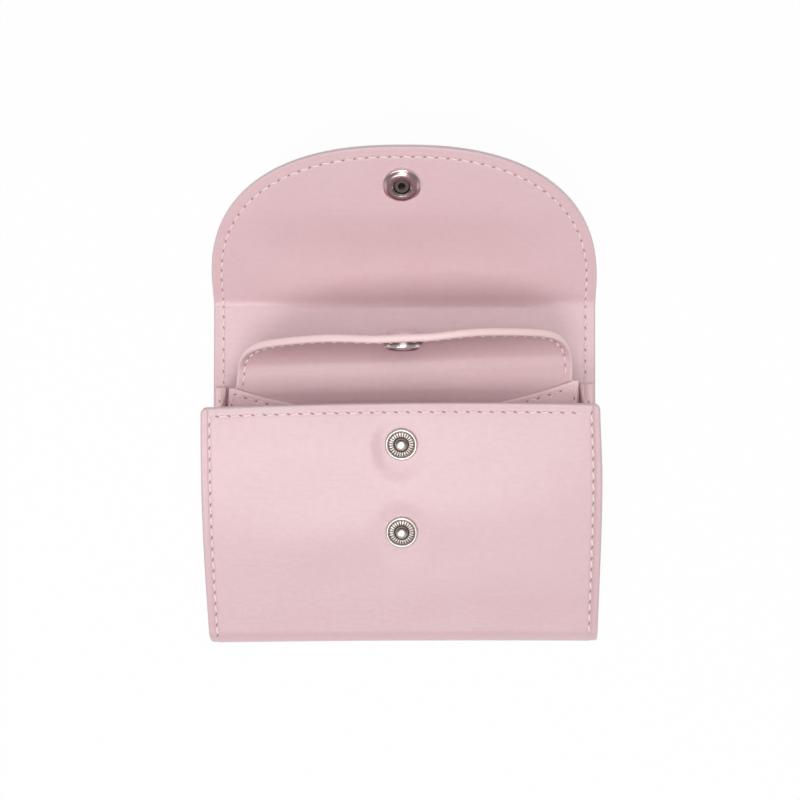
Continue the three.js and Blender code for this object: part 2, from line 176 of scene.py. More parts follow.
for name, place, aim, wide, deep, power in (
    ("front_softbox", (-0.16, -0.36, 0.79), (-0.14, 0.01, 0.01), 0.66, 0.33, 3.14),
    ("top_softbox", (0.05, 0.12, 0.85), (0.03, 0.06, 0.01), 0.5, 0.4, 2.4),
):
    lamp = bpy.data.objects.new(name, bpy.data.lights.new(name, "AREA"))
    lamp.data.shape = "RECTANGLE"
    lamp.data.size = wide
    lamp.data.size_y = deep
    lamp.data.energy = power
    lamp.location = place
    toward = np.subtract(aim, place)
    flat = math.hypot(toward[0], toward[1])
    lamp.rotation_euler = (math.atan2(flat, -toward[2]), 0, math.atan2(toward[1], toward[0]) - math.pi / 2)
    bpy.context.scene.collection.objects.link(lamp)


# Outer leather
# One piece of smooth, slightly glossy calf leather that runs from the front panel round the bottom fold
# to the back panel, the spine and the rounded flap, cut square and sewn to the lining round its edges.
# It is drawn in three leaves that meet on flat ground.
# Half the width, the open angles of mouth and flap, the bottom fold's middle and the bends' radii
HALF = 54.0
MOUTH = math.radians(14)
LIFT = math.radians(35)
FOLD_Y = -33.0
FOLD_Z = 4.5
FOLD_RADIUS = 4.5
FOLD_TURN = math.pi - MOUTH
CREASE_RADIUS = 7.29
# Places along the cut, counted from the front panel's top edge, and what the snaps do to the leather
FRONT = 64.0
BOTTOM = FRONT + FOLD_RADIUS * FOLD_TURN
SPINE = BOTTOM + 72.3
CREASE = SPINE + 16.2
FLAP = CREASE + CREASE_RADIUS * LIFT
FLAP_ROOT = FLAP - 1.7
SHOULDER = FLAP_ROOT + 4.3
RISE = 43.6
FLAP_TIP = SHOULDER + RISE
PAST_TIP = 60.0
BACK_CUT = BOTTOM + 36
SPINE_CUT = SPINE + 9
STUDS = (10.6, 35.2)
STUD_PRESS = (0.85, 0.3)
FLAP_SNAP = FLAP_ROOT + 36.7
FLAP_BUMP = 0.5
# The power of the flap's superellipse, depths from the outer face, and a rim's radii outside and inside
ROUND = 2.4
OUTER = 1.15
PANEL = 1.9
OUTER_RIM = (0.5, 0)
# Steps in a fold line, and the insets of a grid's lines at an edge until its even lines begin
FINE_STEPS = 12000
EDGE_LINES = np.array([
    0, 0.06, 0.16, 0.3, 0.48, 0.7, 1, 1.35, 1.7, 1.88, 1.96, 2.04, 2.15, 2.4, 2.7, 3, 3.4, 4, 4.8,
])
EDGE_END = 5.8


def fold_line(s, runs, y, z, heading):
    """Place and heading on a line in Y and Z at length s: runs of even turning, added up in short steps."""
    length = np.cumsum([0] + [run[0] for run in runs])
    turned = heading + np.cumsum([0] + [run[1] for run in runs])
    fine = np.linspace(0, length[-1], FINE_STEPS + 1)
    angle = np.interp(fine, length, turned)
    middle = (angle[1:] + angle[:-1]) / 2
    along = np.concatenate([[0], np.cumsum(np.cos(middle))]) * fine[1] + y
    up = np.concatenate([[0], np.cumsum(np.sin(middle))]) * fine[1] + z
    return np.interp(s, fine, along), np.interp(s, fine, up), np.interp(s, length, turned)


def panel_line(s):
    """The line of the outer leather's outer face, from the front panel's top edge past the flap's tip.

    It runs straight down the front, round the bottom fold, straight along the back and the spine, up at
    the crease and straight on.
    """
    top_y = FOLD_Y + FRONT * math.cos(MOUTH) - FOLD_RADIUS * math.sin(MOUTH)
    top_z = FOLD_Z + FRONT * math.sin(MOUTH) + FOLD_RADIUS * math.cos(MOUTH)
    folds = [(FRONT, 0), (BOTTOM - FRONT, FOLD_TURN), (CREASE - BOTTOM, 0)]
    folds += [(FLAP - CREASE, LIFT), (PAST_TIP, 0)]
    return fold_line(s, folds, top_y, top_z, math.pi + MOUTH)


def smooth(share):
    """A soft step of a share held between 0 and 1: three times its square less twice its cube."""
    share = np.clip(share, 0, 1)
    return share ** 2 * (3 - 2 * share)


def swell(x, s):
    """How far the panel stands out from its fold line.

    The front has a cubic hump with a faint ripple, pressed in round each stud by a soft step. The flap
    has a low dome: a squared sine along, times one less the fourth power across.
    """
    height, ripple, flatter = 0.9, 0.1, 0.45
    off_middle, hollow, slope = 0.4, 3.9, 5.0
    dome_height, dome_length, dome_half = 1.0, 29, 51
    down = np.clip(s / FRONT, 0, 1)
    aside = (x / HALF) ** 2
    hump = 27 / 4 * down * (1 - down) ** 2 * (1 - flatter * aside)
    hump = hump + ripple * np.sin(s / 4.1 + 1.3 * np.sin(x / 21)) * np.sin(np.pi * down) * (1 - aside)
    for place, pressed in zip(STUDS, STUD_PRESS):
        beside = (s - place) / np.where(s > place, 1.4, 1.1)
        hump = hump * (1 - pressed * (1 - smooth((np.hypot(x + off_middle, beside) - hollow) / slope)))
    along = np.clip((s - FLAP) / dome_length, 0, 1)
    dome = np.sin(np.pi * along) ** 2 * np.maximum(1 - (x / dome_half) ** 4, 0)
    return height * hump + dome_height * dome


def bow(x, s):
    """How far the front panel's sides stray from the straight cut.

    A half sine wave bows each side outwards, and bells draw in the left side near the fold and the right
    top corner. All of it fades as the cube of the distance from the middle.
    """
    left_bow, left_pinch, left_before, left_reach = 0.6, 1.0, 5, 4
    right_bow, right_pinch, right_reach = 0.3, 0.9, 14
    wave = np.sin(np.pi * np.clip(s / FRONT, 0, 1))
    left = left_pinch * np.exp(-((s - BOTTOM + left_before) / left_reach) ** 2) - left_bow * wave
    right = right_bow * wave - right_pinch * np.exp(-((s / right_reach) ** 2))
    return np.where(x < 0, left, right) * np.abs(x / HALF) ** 3


def lay_panel(x, s, depth):
    """A point of the panel: on its fold line, then inwards by its depth less the swell.

    The front hangs a little lower at its left, by a slant and a square across that fade out on the back
    panel, and its top edge is arched by a square across.
    """
    slant, sag, slack = 0.62, 0.28, 24
    arch, arch_length = 0.65, 30
    y, z, heading = panel_line(s)
    inward = depth - swell(x, s)
    across = x / HALF
    hang = (slant * across - sag * across ** 2) * np.clip((BOTTOM + slack - s) / slack, 0, 1)
    hang = hang + arch * (1 - across ** 2) * np.clip(1 - s / arch_length, 0, 1) ** 2
    y = y + hang - inward * np.sin(heading)
    z = z + inward * np.cos(heading)
    return np.stack([x + bow(x, s), y, z], -1) / 1000


def ruled(half):
    """Lines across a leaf: close together at both edges, then about a millimetre apart."""
    inner = half - EDGE_END
    right = np.concatenate([half - EDGE_LINES, np.linspace(inner, 0, int(inner) + 1)])
    return np.concatenate([-right, right[-2::-1]])


def ease_corner(inset_x, inset_s, radius):
    """Insets from two edges drawn round their corner: a square turned into a quarter disc.

    The third result is the distance from the eased edge.
    """
    a = np.clip(1 - inset_x / radius, 0, 1)
    b = np.clip(1 - inset_s / radius, 0, 1)
    corner = (a > 0) & (b > 0)
    a, b = a * np.sqrt(1 - b ** 2 / 2), b * np.sqrt(1 - a ** 2 / 2)
    inset_x = np.where(corner, radius * (1 - a), inset_x)
    inset_s = np.where(corner, radius * (1 - b), inset_s)
    return inset_x, inset_s, np.where(corner, radius * (1 - np.hypot(a, b)), np.minimum(inset_x, inset_s))


def front_cut():
    """Flat cut from the front panel's top edge to the middle of the back: a ruled rectangle.

    Its two top corners are eased.
    """
    corner_radius = 1.6
    front = np.concatenate([EDGE_LINES, np.arange(EDGE_END, FRONT - 0.5)])
    back = np.linspace(BOTTOM, BACK_CUT, 30)[1:]
    x, s = np.meshgrid(ruled(HALF), np.concatenate([front, np.linspace(FRONT, BOTTOM, 34), back]))
    inset, down, edge = ease_corner(HALF - np.abs(x), s, corner_radius)
    return np.sign(x) * (HALF - inset), down, edge


def spine_cut():
    """Flat cut from the middle of the back to the middle of the spine: a ruled rectangle."""
    x, s = np.meshgrid(ruled(HALF), np.linspace(BACK_CUT, SPINE_CUT, 46))
    return x, s, HALF - np.abs(x)


def arch_cut(rows, half, start, rise, power):
    """Flat cut with an arched end: ruled rows, then a half disc drawn out to a superellipse."""
    plain = np.linspace(0, rise - EDGE_END, int(1.4 * rise - 8))[1:]
    high = np.concatenate([plain, rise - EDGE_LINES[::-1]]) / rise
    a, b = np.meshgrid(ruled(half) / half, high)
    wide, tall = a * np.sqrt(1 - b ** 2 / 2), b * np.sqrt(1 - a ** 2 / 2)
    turn = np.arctan2(tall, np.abs(wide))
    out = (np.cos(turn) ** power + np.sin(turn) ** power) ** (-1 / power)
    grow = 1 + (out - 1) * (wide ** 2 + tall ** 2)
    x_low, s_low = np.meshgrid(ruled(half), rows)
    x = np.concatenate([x_low, wide * grow * half])
    s = np.concatenate([s_low, start + tall * grow * rise])
    return x, s, arch_edge(x, s, half, start, rise, power)


def arch_edge(x, s, half, start, rise, power):
    """Distance from an arched edge: one less the superellipse's own radius, over that radius's slope."""
    tiny = 1e-6
    p = np.abs(x) / half
    q = np.maximum(s - start, 0) / rise
    radius = np.maximum((p ** power + q ** power) ** (1 / power), tiny)
    slope = np.hypot((p / radius) ** (power - 1) / half, (q / radius) ** (power - 1) / rise)
    return np.maximum(1 - radius, 0) / np.maximum(slope, tiny)


def flap_cut():
    """Flat cut from the middle of the spine over the crease to the flap's tip, with an arched end."""
    fold = np.linspace(CREASE - 0.4, FLAP + 0.4, 15)
    rows = np.concatenate([np.linspace(SPINE_CUT, CREASE - 1, 7), fold, np.linspace(FLAP + 1, SHOULDER, 3)])
    return arch_cut(rows, HALF, SHOULDER, RISE, ROUND)


def new_piece(name, points, faces, finish, crisp=48, flat=None, **measures):
    """A smooth mesh object from whole arrays of points and groups of faces.

    Edges that turn by more than the crisp angle stay sharp. The flat cut becomes a UV map, in units of
    100 mm, and each measure an attribute of the points.
    """
    mesh = bpy.data.meshes.new(name)
    mesh.from_pydata(points.tolist(), [], [face for group in faces for face in group.tolist()])
    mesh.shade_smooth()
    mesh.set_sharp_from_angle(angle=math.radians(crisp))
    if flat is not None:
        corner = np.zeros(len(mesh.loops), np.int32)
        mesh.loops.foreach_get("vertex_index", corner)
        spread = (flat / 100)[corner].astype(np.float32)
        mesh.uv_layers.new(name="cut").data.foreach_set("uv", spread.reshape(-1))
    for measure, values in measures.items():
        mesh.attributes.new(measure, "FLOAT", "POINT").data.foreach_set("value", values.astype(np.float32))
    mesh.materials.append(finish)
    piece = bpy.data.objects.new(name, mesh)
    bpy.context.scene.collection.objects.link(piece)
    return piece


def shell_faces(rows, columns):
    """Faces of a closed sheet of two like grids.

    The second grid comes first, then the first grid turned over, then a wall round their rim.
    """
    count = rows * columns
    place = np.arange(count).reshape(rows, columns)
    quads = np.stack([place[:-1, :-1], place[:-1, 1:], place[1:, 1:], place[1:, :-1]], -1).reshape(-1, 4)
    rim = np.concatenate([place[0, :-1], place[:-1, -1], place[-1, :0:-1], place[:0:-1, 0]])
    ahead = np.roll(rim, -1)
    wall = np.stack([rim, ahead, ahead + count, rim + count], -1)
    return np.concatenate([quads + count, quads[:, ::-1], wall])


def leather_shell(name, cut, low, high, lay, finish, soft):
    """A closed sheet of leather: its cut laid at two depths, with a quarter circle at each one's rim."""
    x, s, edge = cut
    ease = [size - np.sqrt(np.maximum(size ** 2 - np.maximum(size - edge, 0) ** 2, 0)) for size in soft]
    sides = [lay(x, s, low + ease[0]).reshape(-1, 3), lay(x, s, high - ease[1]).reshape(-1, 3)]
    flat = np.tile(np.stack([x, s], -1).reshape(-1, 2), (2, 1))
    edge = np.tile(edge.reshape(-1), 2)
    return new_piece(name, np.concatenate(sides), [shell_faces(*x.shape)], finish, flat=flat, edge=edge)


def leather_finish(name, pale, deep, gloss, seam, edging, border=0.0):
    """Pink leather, drawn on its flat cut.

    Its tone is a sum of cloudy noise, faint creases across the skin and grain. Painted shade makes it
    deeper along the sewn groove, along a line just inside the rounded edge, down a border on the front's
    sides and low on the front towards the bottom fold. Its edge has edge paint of its own colour; on the
    divider's leathers this is pale, a painted highlight on the tab's lip. Creases, grain, pores, a few
    longer folds and the groove make its height.
    """
    made, start, shader = new_finish(name)
    cut = start.node("ShaderNodeUVMap", {}, uv_map="cut")
    across = start.sum_up("ABSOLUTE", start.node("ShaderNodeSeparateXYZ", {"Vector": cut}, "X")) * 100
    along = start.node("ShaderNodeSeparateXYZ", {"Vector": cut}, "Y") * 100
    edge = start.node("ShaderNodeAttribute", {}, "Fac", attribute_name="edge")

    def noise(scale, detail, roughness=0.5, turn=0.0):
        """Noise on the cut, with its own scale across and along, turned a little if need be."""
        spread = {"Vector": cut, "Rotation": (0, 0, turn), "Scale": (*scale, 1)}
        drawn = start.node("ShaderNodeMapping", spread)
        look = {"Vector": drawn, "Scale": 1.0, "Detail": detail, "Roughness": roughness}
        return start.node("ShaderNodeTexNoise", look)

    def stripe(centre, half):
        """A stripe along the edge: one less the square of the distance from its centre."""
        return (1 - ((edge - centre) / half) ** 2).held(0, 1)

    cloud = noise((5, 5), 6.0, 0.62)
    crease = noise((11, 130), 4.0, 0.6)
    fold = (noise((5, 46), 2.0, turn=0.06) * 9 - 5.2).held(0, 1)
    grain = noise((52, 78), 3.0)
    pore = start.node("ShaderNodeTexVoronoi", {"Vector": cut, "Scale": 230.0})
    # painted shade: the tone is deeper in the sewn groove and along a line just inside the edge's rounding
    groove = stripe(seam, 0.6)
    turned = stripe(1.2, 0.4)
    rim = (1 - edge / 0.7).held(0, 1)
    # painted shade: a deeper tone down a border on the front's sides and low on the front towards the
    # bottom fold
    side_border_shade = ((across - (HALF - border)) * 2.5).held(0, 1) * (FRONT - along).held(0, 1)
    low_front_shade = ((along - 34) / 22).held(0, 1) * ((FRONT + 2 - along) / 4).held(0, 1) * (border * 0.16)
    skin = cloud * 0.9 + crease * 0.35 + grain * 0.8 - 0.69
    shade = skin + groove * 0.2 + turned * 0.2 + side_border_shade * 0.4 + low_front_shade
    rim.tint(shade.held(0, 1).tint((*pale, 1), (*deep, 1)), (*edging, 1)).into(shader, "Base Color")
    (gloss + crease * 0.1 + grain * 0.12 - 0.11 + rim * 0.08).into(shader, "Roughness")
    height = crease * 0.3 + grain * 0.8 + pore * 0.25 + fold * 0.14 - groove * 1.3
    bump = start.node("ShaderNodeBump", {"Height": height, "Strength": 0.35, "Distance": 0.00018})
    bump.into(shader, "Normal")
    shader.inputs["Specular IOR Level"].default_value = 0.5
    shader.inputs["Coat Roughness"].default_value = 0.22
    shader.inputs["Coat Weight"].default_value = 0.4
    return made


outer_leather = leather_finish(
    "outer_leather", pale=(0.725, 0.507, 0.536), deep=(0.665, 0.437, 0.466), gloss=0.36,
    seam=2.6, edging=(0.66, 0.52, 0.53), border=2.0,
)


def front_border(x, s):
    """Depth of the front panel's outer face.

    A border down both sides lies lower by a soft step, which fades evenly in the bottom fold.
    """
    sunk, inset, slope = 0.22, 2.25, 0.5
    still = np.clip((BOTTOM - s) / (BOTTOM - FRONT), 0, 1)
    return sunk * smooth((inset - (HALF - np.abs(x))) / slope) * still


def snap_bump(x, s, place, height):
    """The swell of leather over a hidden snap cap: a soft step from the cap's rim down to the leaf."""
    foot, slope = 6.4, 2.6
    return height * smooth((foot - np.hypot(x, s - place)) / slope)


cut = front_cut()
border = front_border(*cut[:2])
front_leather = leather_shell("front_leather", cut, border, OUTER, lay_panel, outer_leather, OUTER_RIM)
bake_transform(front_leather)
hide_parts("front_panel", "bottom_fold", "back_panel")
spine_leather = leather_shell("spine_leather", spine_cut(), 0, OUTER, lay_panel, outer_leather, OUTER_RIM)
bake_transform(spine_leather)
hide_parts("spine_fold", "spine_outer")
cut = flap_cut()
bumped = -snap_bump(cut[0], cut[1], FLAP_SNAP, FLAP_BUMP)
flap_leather = leather_shell("flap_leather", cut, bumped, OUTER, lay_panel, outer_leather, OUTER_RIM)
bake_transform(flap_leather)
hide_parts("flap_fold", "flap_outer")
LEAF_LENGTHS = (BACK_CUT, SPINE_CUT - BACK_CUT, FLAP_TIP - SPINE_CUT)
for piece, length in zip((front_leather, spine_leather, flap_leather), LEAF_LENGTHS):
    length / 1000


# Lining
# A thinner satin leather, cut to the outer leather's outline, glued to the whole inside of it and sewn
# to it round the edges. It is drawn in the same three leaves.
SEAM = 2.85
LINING_RIM = (0, 0.42)
lining_leather = leather_finish(
    "lining_leather", pale=(0.79, 0.555, 0.584), deep=(0.725, 0.482, 0.511), gloss=0.44,
    seam=SEAM, edging=(0.7, 0.52, 0.54),
)


def snap_seat(x, s, place):
    """How deep the leather under a socket is pressed: level in the middle, a straight slope at the rim."""
    deep, foot, slope = 0.55, 4.6, 1.4
    return deep * np.clip((foot - np.hypot(x, s - place)) / slope, 0, 1)


def snap_dent(x, s, place):
    """How far the leather round a socket is drawn in: a bell that starts at the socket's rim."""
    deep, rim, reach = 0.12, 4.6, 5
    return deep * np.exp(-np.maximum(np.hypot(x, s - place) - rim, 0) ** 2 / reach)


cut = front_cut()
front_inside = leather_shell("front_inside", cut, OUTER, PANEL, lay_panel, lining_leather, LINING_RIM)
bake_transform(front_inside)
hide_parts("front_lining", "bottom_fold_lining", "back_lining")
cut = spine_cut()
spine_inside = leather_shell("spine_inside", cut, OUTER, PANEL, lay_panel, lining_leather, LINING_RIM)
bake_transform(spine_inside)
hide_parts("spine_fold_lining", "spine_lining")
cut = flap_cut()
seated = PANEL - (snap_dent(cut[0], cut[1], FLAP_SNAP) + snap_seat(cut[0], cut[1], FLAP_SNAP))
flap_inside = leather_shell("flap_inside", cut, OUTER, seated, lay_panel, lining_leather, LINING_RIM)
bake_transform(flap_inside)
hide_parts("flap_fold_lining", "flap_lining")
for piece, length in zip((front_inside, spine_inside, flap_inside), LEAF_LENGTHS):
    length / 1000


# Seams of the panel
# Waxed thread a shade paler than the leather, sewn through both layers along the edges. Each stitch lies
# between two slanted needle holes and dips into them.
def thread_finish():
    """Pale twisted thread: a fine slanting stripe in its height and a little dust in its colour."""
    made, start, shader = new_finish("thread")
    where = start.node("ShaderNodeTexCoord", {}, "Object")
    dust = start.node("ShaderNodeTexNoise", {"Vector": where, "Scale": 900.0, "Detail": 2.0})
    dust.tint((1.0, 0.85, 0.83, 1), (0.92, 0.74, 0.73, 1)).into(shader, "Base Color")
    (0.5 + dust * 0.2).into(shader, "Roughness")
    waves = {"Vector": where, "Scale": 700.0}
    twist = start.node("ShaderNodeTexWave", waves, "Fac", bands_direction="DIAGONAL")
    bump = start.node("ShaderNodeBump", {"Height": twist, "Strength": 0.4, "Distance": 0.0001})
    bump.into(shader, "Normal")
    return made


def hole_shade_finish():
    """Painted shade for the inside of a needle hole: brown pink, cloudy and dull."""
    made, start, shader = new_finish("needle_hole_shade")
    where = start.node("ShaderNodeTexCoord", {}, "Object")
    cloud = start.node("ShaderNodeTexNoise", {"Vector": where, "Scale": 400.0})
    cloud.tint((0.36, 0.19, 0.2, 1), (0.48, 0.28, 0.29, 1)).into(shader, "Base Color")
    (0.75 + cloud * 0.2).into(shader, "Roughness")
    return made


# painted shade: the needle holes are dark patches laid on the leather
thread = thread_finish()
needle_hole_shade = hole_shade_finish()


def needle_marks(corners, pitch):
    """Places of the needle holes: even steps of about the pitch along a line of points in the flat cut."""
    corners = np.asarray(corners, float)
    length = np.concatenate([[0], np.cumsum(np.hypot(*np.diff(corners, axis=0).T))])
    steps = np.linspace(0, length[-1], int(round(length[-1] / pitch)) + 1)
    return np.stack([np.interp(steps, length, corners[:, 0]), np.interp(steps, length, corners[:, 1])], -1)


def sew(name, first, last, depth, out, lay):
    """Stitches between pairs of holes, each a tube with capped ends.

    Along each stitch its height and girth follow powers of a half sine wave, so that its middle stands
    over the leather and its ends dip into it, and it lies a little slanted from side to side.
    """
    rings, sides = 9, 6
    radius, slant, dip, rise = 0.25, 0.16, 0.3, 0.4
    share = np.linspace(0, 1, rings)[None, :, None]
    turn = np.linspace(0, 2 * np.pi, sides + 1)[:-1][None, None, :]
    step = last - first
    step = step / np.linalg.norm(step, axis=1, keepdims=True)
    along = first[:, None, None, :] + (last - first)[:, None, None, :] * share[..., None]
    side = np.stack([-step[:, 1], step[:, 0]], -1)[:, None, None, :]
    girth = radius * (0.35 + 0.65 * np.sin(np.pi * share) ** 0.5)
    place = along + side * (slant * (1 - 2 * share) + girth * np.cos(turn))[..., None]
    height = -dip + rise * np.sin(np.pi * share) ** 0.6 + 0.8 * girth * np.sin(turn)
    points = lay(place[..., 0], place[..., 1], depth + out * height).reshape(-1, 3)
    index = np.arange(len(first) * rings * sides).reshape(-1, rings, sides)
    beside = np.roll(index, -1, axis=2)
    tube = np.stack([index[:, :-1], index[:, 1:], beside[:, 1:], beside[:, :-1]], -1).reshape(-1, 4)
    caps = np.concatenate([index[:, 0], index[:, -1, ::-1]])
    way = -1 if out > 0 else 1
    return new_piece(name, points, [tube[:, ::way], caps[:, ::way]], thread, crisp=180)


def prick(name, marks, step, depth, out, lay, slit):
    """Needle holes drawn as painted shade: small dark lenses.

    Each is an ellipse turned across the seam, closed by a point above it and one below.
    """
    sides = 10
    rim, above, below = 0.015, 0.03, -0.05
    turn = np.linspace(0, 2 * np.pi, sides + 1)[:-1][None, :, None]
    step = step / np.linalg.norm(step, axis=1, keepdims=True)
    length, width, lean = slit
    slant = np.stack([
        step[:, 0] * math.cos(lean) - step[:, 1] * math.sin(lean),
        step[:, 0] * math.sin(lean) + step[:, 1] * math.cos(lean),
    ], -1)
    cross = np.stack([-slant[:, 1], slant[:, 0]], -1)
    ring = marks[:, None] + length * np.cos(turn) * slant[:, None] + width * np.sin(turn) * cross[:, None]
    flat = np.concatenate([ring, marks[:, None], marks[:, None]], 1)
    lift = np.concatenate([np.full(sides, rim), [above, below]])[None, :]
    points = lay(flat[..., 0], flat[..., 1], depth + out * lift).reshape(-1, 3)
    index = np.arange(len(points)).reshape(-1, sides + 2)
    here = index[:, :sides]
    after = np.roll(here, -1, axis=1)
    top = np.stack([here, after, index[:, [sides] * sides]], -1).reshape(-1, 3)
    under = np.stack([after, here, index[:, [sides + 1] * sides]], -1).reshape(-1, 3)
    way = 1 if out > 0 else -1
    return new_piece(name, points, [top[:, ::way], under[:, ::way]], needle_hole_shade)


def seam(
    name, corners, depth, out, lay, begin=0.0, end=math.inf, pitch=3.1, slit=(0.42, 0.24, 0.35), sunk=0.0,
):
    """A row of stitches and its holes along a line of the flat cut, between two places along the cut."""
    gap = 0.15
    marks = needle_marks(corners, pitch)
    middle = (marks[:-1, 1] + marks[1:, 1]) / 2
    chosen = (middle >= begin) & (middle < end)
    first, last = marks[:-1][chosen], marks[1:][chosen]
    inset = gap * (last - first)
    stitches = sew(name + "_thread", first + inset, last - inset, depth - out * sunk, out, lay)
    return [stitches, prick(name + "_holes", first, last - first, depth, out, lay, slit)]


angle = np.linspace(0, np.pi, 90)
seam_side = HALF - SEAM
arch = np.stack([
    -seam_side * np.sign(np.cos(angle)) * np.abs(np.cos(angle)) ** (2 / ROUND),
    SHOULDER + (RISE - SEAM) * np.sin(angle) ** (2 / ROUND),
], -1)
inside_top = BOTTOM + 67.8
outside_foot = BOTTOM + 1
inside_run = np.concatenate([[(-seam_side, inside_top)], arch, [(seam_side, inside_top)]])
outside_run = np.concatenate([[(-seam_side, outside_foot)], arch, [(seam_side, outside_foot)]])
front_side = HALF - 2.5
front_foot = FRONT + 1
front_runs = {
    "left": [(-front_side, front_foot), (-front_side, 1.3)],
    "top": [(-49.4, 2.3), (49.8, 2.3)],
    "right": [(front_side, 2.2), (front_side, front_foot)],
}
front_slit = (0.56, 0.23, 0.35)

for name, run in front_runs.items():
    for piece in seam("front_seam_" + name, run, 0.0, -1, lay_panel, pitch=3.17, slit=front_slit):
        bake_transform(piece)
for piece in seam("back_seam", outside_run, 0.0, -1, lay_panel, end=SPINE_CUT, sunk=0.15):
    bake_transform(piece)
for piece in seam("flap_seam_outside", outside_run, 0.0, -1, lay_panel, begin=SPINE_CUT):
    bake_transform(piece)
for piece in seam("spine_seam_inside", inside_run, PANEL, 1, lay_panel, end=SPINE_CUT):
    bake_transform(piece)
for piece in seam("flap_seam_inside", inside_run, PANEL, 1, lay_panel, begin=SPINE_CUT):
    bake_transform(piece)


# Side gussets
# One soft leather at each side: a flange on the back lining, two walls that meet at the divider's edge,
# and a flange on the front lining. They fan open with the mouth.
GUSSET_EDGE = 53.5
GUSSET_FOOT = 2.5
GUSSET_TOP = 67.2
GUSSET_DROP = 7.5
GUSSET_HALF = 0.35
GUSSET_FACE = PANEL + 0.85
HALF_GAP = 2.6


def eased(places, values, at, soft):
    """A line through corner points, its corners eased: the mean of the line over a reach round a place."""
    reach = np.linspace(-soft, soft, 11)[:, None]
    spots = np.clip(at[None, :] + reach, places[0], places[-1])
    return np.interp(spots, places, values).mean(0)


def lay_gusset(side, x, share, distance):
    """A point of the fan: turned about the bottom fold by its share of the mouth's angle, at a distance.

    The fan starts on the back lining and ends on the front lining, each half the gap from the middle,
    and is skewed a little by x times the distance.
    """
    skew = 0.00018
    angle = MOUTH * share
    offset = HALF_GAP * (2 * share - 1)
    y = FOLD_Y + distance * np.cos(angle) - offset * np.sin(angle) + skew * side * x * distance
    z = FOLD_Z + distance * np.sin(angle) + offset * np.cos(angle)
    return np.stack([side * x, y, z], -1) / 1000


def gusset_shell(name, side, finish):
    """A closed folded sheet: an eased section of flange, wall, wall and flange, carried along the fan.

    The leather lies to both sides of the section along its normal, thinned by a square at its rim, and
    its front part drops under the front edge by a share that grows from the foot.
    """
    soft = 0.05
    rim_lines = np.array([2.4, 1.8, 1.3, 0.9, 0.6, 0.35, 0.18, 0.07, 0])
    across = np.linspace(0, 1, 71)
    distance = np.concatenate([np.linspace(GUSSET_FOOT, 64, 40), GUSSET_TOP - rim_lines])
    places = np.array([0, 0.12, 0.5, 0.88, 1])
    x = eased(places, np.array([GUSSET_EDGE, 50.6, 49.05, 50.4, GUSSET_EDGE]), across, soft)
    share = eased(places, np.array([0, 0, 0.5, 1, 1.0]), across, soft)
    inset = eased(places, np.array([0.5, 0.5, 0, -0.5, -0.5]), across, soft)
    x, distance = np.meshgrid(x, distance)
    height = 2 * HALF_GAP + distance * MOUTH
    up = height * share + inset
    slope_x, slope_up = np.gradient(x, axis=1), np.gradient(up, axis=1)
    size = np.hypot(slope_x, slope_up)
    edge = np.minimum(GUSSET_TOP - distance, GUSSET_EDGE - x)
    half = GUSSET_HALF - 0.33 * np.maximum(1 - edge / GUSSET_HALF, 0) ** 2
    grown = (distance - GUSSET_FOOT) / (GUSSET_TOP - GUSSET_FOOT)
    lowered = distance - grown * GUSSET_DROP * np.maximum(2 * share - 1, 0) ** 0.6
    layers = []
    for way in (-1, 1):
        level = (up + way * half * slope_x / size) / height
        layers.append(lay_gusset(side, x - way * half * slope_up / size, level, lowered).reshape(-1, 3))
    flat = np.tile(np.stack([np.cumsum(size, axis=1), distance], -1).reshape(-1, 2), (2, 1))
    edge = np.tile(edge.reshape(-1), 2)
    faces = shell_faces(*x.shape)[:, ::side]
    return new_piece(name, np.concatenate(layers), [faces], finish, flat=flat, edge=edge)


# painted light: paler than the lining, to lighten the gussets in the shade of the mouth
lit_gusset_leather = leather_finish(
    "lit_gusset_leather", pale=(0.88, 0.625, 0.645), deep=(0.81, 0.545, 0.57), gloss=0.46,
    seam=1.4, edging=(0.68, 0.47, 0.49),
)
flange_side, flange_foot, flange_top = 52.1, BOTTOM + 22, BOTTOM + 65.6
for side, node in ((-1, "left_gusset"), (1, "right_gusset")):
    gusset = gusset_shell(node + "_leather", side, lit_gusset_leather)
    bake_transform(gusset)
    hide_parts(node)
    flange_run = [(side * flange_side, flange_foot), (side * flange_side, flange_top)]
    for piece in seam(node + "_seam", flange_run, GUSSET_FACE, 1, lay_panel):
        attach(piece, "back")


# Divider and inner flap
# Two leathers back to back on the middle line of the mouth. The divider ends at a fold line, beyond which
# the narrower inner flap goes on as one wide arch that bends softly up to its snap.
INNER = 1.5
INNER_BACK = 0.84
DIVIDER_FOOT = 7.0
DIVIDER_HALF = 48.4
# Places along the cut, counted from the divider's foot, with the tab's bend, bump, width, seam and beads
FOLD_LINE = 57.4
ARM_CUT = 65.5
TAB_FOLD = 65.8
TAB_TURN = math.radians(78)
TAB = TAB_FOLD + 8.91 * TAB_TURN
TAB_SNAP = TAB + 4.7
TAB_BUMP = 1.6
TAB_END = 89.0
TAB_RISE = TAB_END - ARM_CUT
TAB_HALF = 45.88
TAB_SEAM = 1.9
FACE_BEAD = 0.55
REAR_BEAD = 0.2


def divider_line(s):
    """The line of the divider's back face.

    It is straight from near the bottom fold, then bends up to the tab, and the bend is eased at both ends.
    """
    tilt = MOUTH / 2
    y = FOLD_Y + DIVIDER_FOOT * math.cos(tilt) + INNER / 2 * math.sin(tilt)
    z = FOLD_Z + DIVIDER_FOOT * math.sin(tilt) - INNER / 2 * math.cos(tilt)
    ease = (4, math.radians(11))
    bend = (TAB - TAB_FOLD - 3, TAB_TURN - 2 * ease[1])
    return fold_line(s, [(TAB_FOLD - 2.7, 0), ease, bend, ease, (26, 0)], y, z, tilt)


